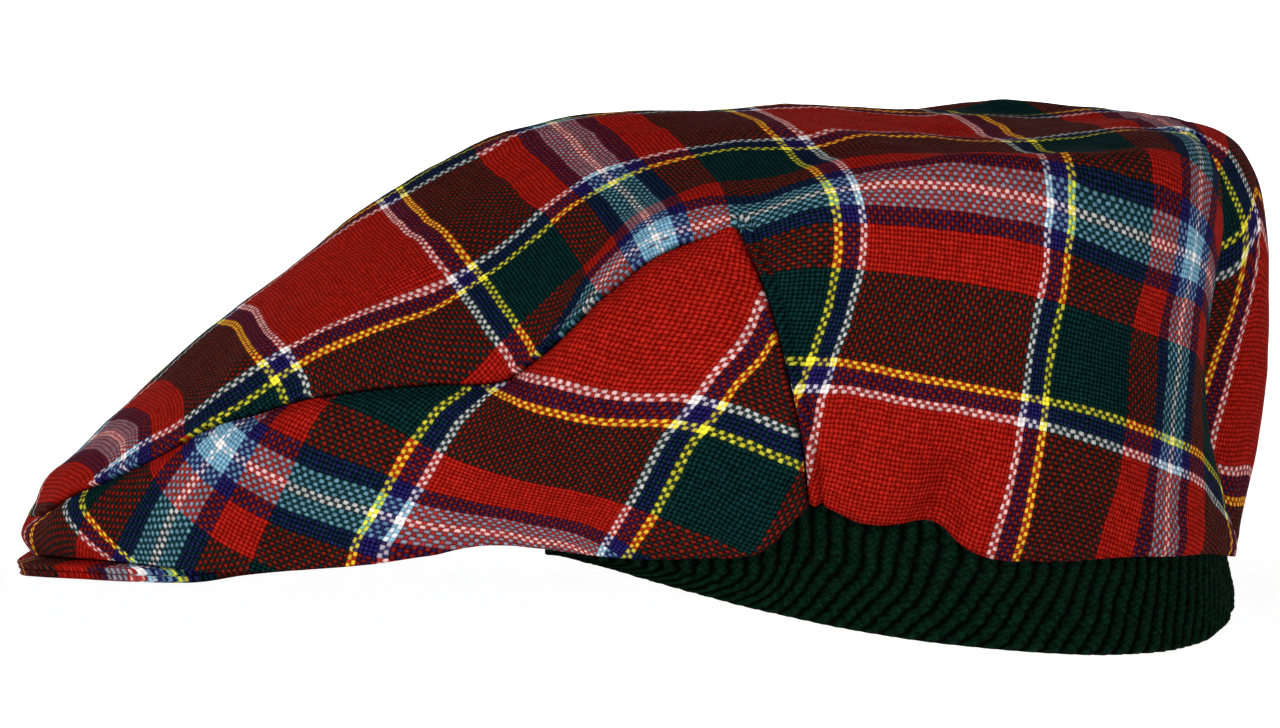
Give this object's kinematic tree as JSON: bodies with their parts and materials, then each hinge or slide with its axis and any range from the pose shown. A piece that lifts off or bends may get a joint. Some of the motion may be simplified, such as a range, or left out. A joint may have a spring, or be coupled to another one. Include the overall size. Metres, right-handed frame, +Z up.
{
  "type": "flat cap",
  "caption": "Soft flat cap: one-piece roof with side panels and a centre back seam, short sloping peak, ribbed knit band below the hem at the sides and back.",
  "frame": {"origin": "centre of the head opening, in the plane of the crown's hem; the knit band hangs below it", "axes": "+X towards the back of the head, -X towards the peak, -Y towards the wearer's left ear, +Z up"},
  "size_m": [0.2695, 0.1888, 0.1078],
  "materials": {
    "tartan_wool": "plain-woven wool tartan, red ground with green, navy, yellow, white and light blue lines",
    "green_knit": "very dark green ribbed wool knit"
  },
  "bodies": {
    "root": {"crown_top": "tartan_wool", "side_panel_left": "tartan_wool", "side_panel_right": "tartan_wool", "peak_upper_cover": "tartan_wool", "peak_lower_cover": "tartan_wool", "knit_band": "green_knit"}
  },
  "joints": []
}
